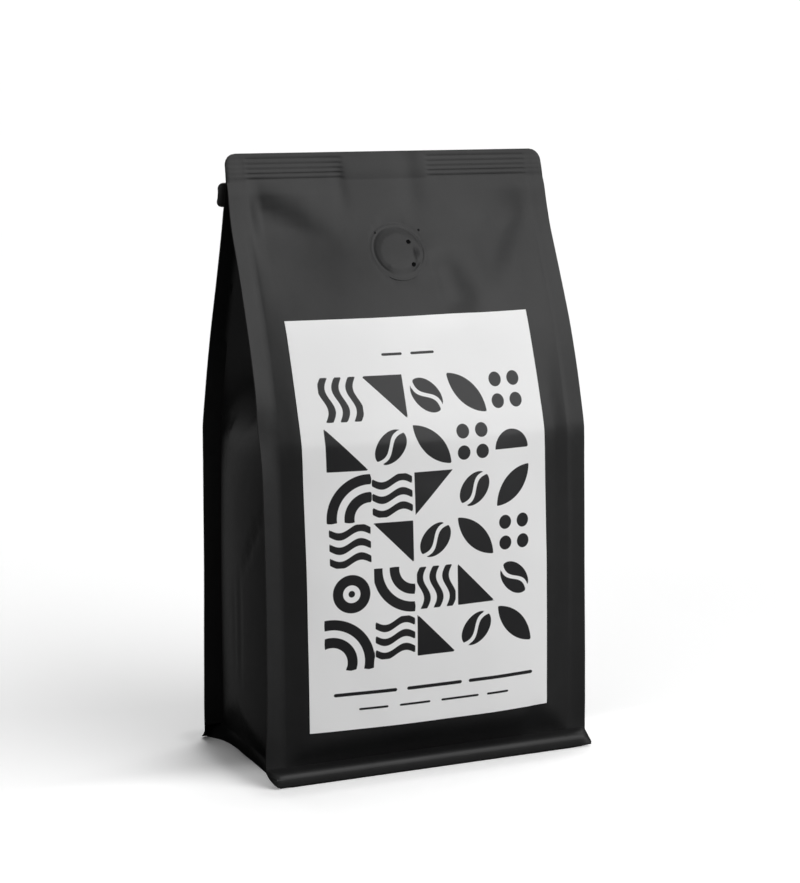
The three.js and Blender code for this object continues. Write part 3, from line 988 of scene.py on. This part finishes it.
class BAG_OT_stage(bpy.types.Operator):
    """Sets the floor, the soft lights and the camera."""
    bl_idname = "coffee_bag.stage"
    bl_label = "Stage"

    def add_sun(self, name, azimuth, elevation, spread, strength):
        away = direction(radians(azimuth), radians(elevation))
        bpy.ops.object.light_add(type="SUN", location=away * 2)
        light = bpy.context.object
        light.name = name
        light.data.angle = radians(spread)
        light.data.energy = strength
        light.rotation_euler = away.to_track_quat("Z", "Y").to_euler()

    def add_glow(self, nodes, links, place):
        """Painted light: a glow that lifts the floor's white, starting a little way from the bag and fuller
        in front; and painted shade: the grey that the bag mirrors, dark where the floor meets it."""
        last = place
        steps = ("ABSOLUTE", None), ("SUBTRACT", FOOT_HALF_SIDES), ("MAXIMUM", (0, 0, 0)), ("LENGTH", None)
        for operation, value in steps:
            step = nodes.new("ShaderNodeVectorMath")
            step.operation = operation
            links.new(last, step.inputs[0])
            if value:
                step.inputs[1].default_value = value
            last = step.outputs["Value" if operation == "LENGTH" else "Vector"]
        split = nodes.new("ShaderNodeSeparateXYZ")
        links.new(place, split.inputs["Vector"])
        lifts = []
        for value, ramp in ((last, WHITE_AWAY), (split.outputs["Y"], WHITE_FRONT), (last, SHADED_GREY_AWAY)):
            start, end, most = ramp
            lifts.append(add_ramp(nodes, links, value, start, end, 0, most))
            lifts[-1].node.interpolation_type = "SMOOTHSTEP"
        total = nodes.new("ShaderNodeMath")
        links.new(lifts[0], total.inputs[0])
        links.new(lifts[1], total.inputs[1])
        return total.outputs["Value"], lifts[2]

    def add_world(self, context):
        """White all round for the camera, and a faint light on the bag."""
        world = bpy.data.worlds.new("studio_world")
        context.scene.world = world
        world.use_nodes = True
        nodes, links = world.node_tree.nodes, world.node_tree.links
        seen, around = nodes["Background"], nodes.new("ShaderNodeBackground")
        for background, strength in ((seen, WORLD_SEEN), (around, WORLD_AROUND)):
            background.inputs["Color"].default_value = (1, 1, 1, 1)
            background.inputs["Strength"].default_value = strength
        shaders = seen.outputs["Background"], around.outputs["Background"]
        show_to_camera(nodes, links, *shaders, "World Output")

    def execute(self, context):
        studio = context.scene.bag_studio
        clear_selection()
        bpy.ops.mesh.primitive_plane_add(size=60)
        floor = start_piece("studio_floor")
        material, nodes, links, shader = new_material("white_floor")
        place = nodes.new("ShaderNodeTexCoord").outputs["Object"]
        mottle = add_noise(nodes, links, place, 3, 2)
        links.new(add_mix(nodes, links, add_range(nodes, links, mottle, 0, 1), (0.90, 0.90, 0.90),
                          (0.92, 0.92, 0.92)), shader.inputs["Base Color"])
        shader.inputs["Roughness"].default_value = 0.9
        shader.inputs["Specular IOR Level"].default_value = 0.1
        shader.inputs["Emission Color"].default_value = (1, 1, 1, 1)
        glow, shaded_grey = self.add_glow(nodes, links, place)
        links.new(glow, shader.inputs["Emission Strength"])
        # The bag mirrors a darker grey copy of the floor, darkest beside it: painted shade
        dim = nodes.new("ShaderNodeBsdfDiffuse")
        links.new(shaded_grey, dim.inputs["Color"])
        show_to_camera(nodes, links, shader.outputs["BSDF"], dim.outputs["BSDF"], "Material Output")
        floor.data.materials.append(material)

        for name, azimuth, elevation, spread, strength in LIGHTS:
            self.add_sun(name, azimuth, elevation, spread, strength)

        self.add_world(context)
        context.scene.view_settings.view_transform = "Standard"

        away = direction(studio.azimuth, studio.elevation) * studio.distance
        bpy.ops.object.camera_add(
            location=Vector(studio.aim) + away, rotation=(pi / 2 - studio.elevation, 0, studio.azimuth))
        camera = bpy.context.object
        camera.name = "photo_camera"
        camera.data.sensor_width = SENSOR
        camera.data.lens = SENSOR * studio.focal_pixels / max(PICTURE_WIDTH, PICTURE_HEIGHT)
        camera.data.clip_start = 0.01
        context.scene.camera = camera
        return {"FINISHED"}


class BAG_PT_panel(bpy.types.Panel):
    """Lists the bag's settings and building steps."""
    bl_label = "Coffee Bag"
    bl_idname = "BAG_PT_panel"
    bl_space_type = "VIEW_3D"
    bl_region_type = "UI"
    bl_category = "Coffee Bag"

    def draw(self, context):
        for group, _ in GROUPS:
            settings = getattr(context.scene, group)
            box = self.layout.box()
            box.label(text=group.replace("_", " ").title())
            for name in settings.__annotations__:
                box.prop(settings, name)
        for step in STEPS:
            self.layout.operator(step.bl_idname)


GROUPS = (
    ("bag_sizes", BagSizes), ("bag_print", PrintSizes), ("bag_trim", TrimSizes),
    ("bag_looks", Looks), ("bag_studio", Studio),
)
STEPS = (BAG_OT_stage, BAG_OT_pouch, BAG_OT_label, BAG_OT_valve, BAG_OT_tie)


def register():
    for name, group in GROUPS:
        bpy.utils.register_class(group)
        setattr(bpy.types.Scene, name, PointerProperty(type=group))
    for item in STEPS + (BAG_PT_panel,):
        bpy.utils.register_class(item)


def unregister():
    for item in reversed(STEPS + (BAG_PT_panel,)):
        bpy.utils.unregister_class(item)
    for name, group in reversed(GROUPS):
        delattr(bpy.types.Scene, name)
        bpy.utils.unregister_class(group)


def main():
    register()
    bpy.ops.coffee_bag.stage()
    bpy.ops.coffee_bag.pouch()
    bpy.ops.coffee_bag.label()
    bpy.ops.coffee_bag.valve()
    bpy.ops.coffee_bag.tie()


if __name__ == "__main__":
    main()
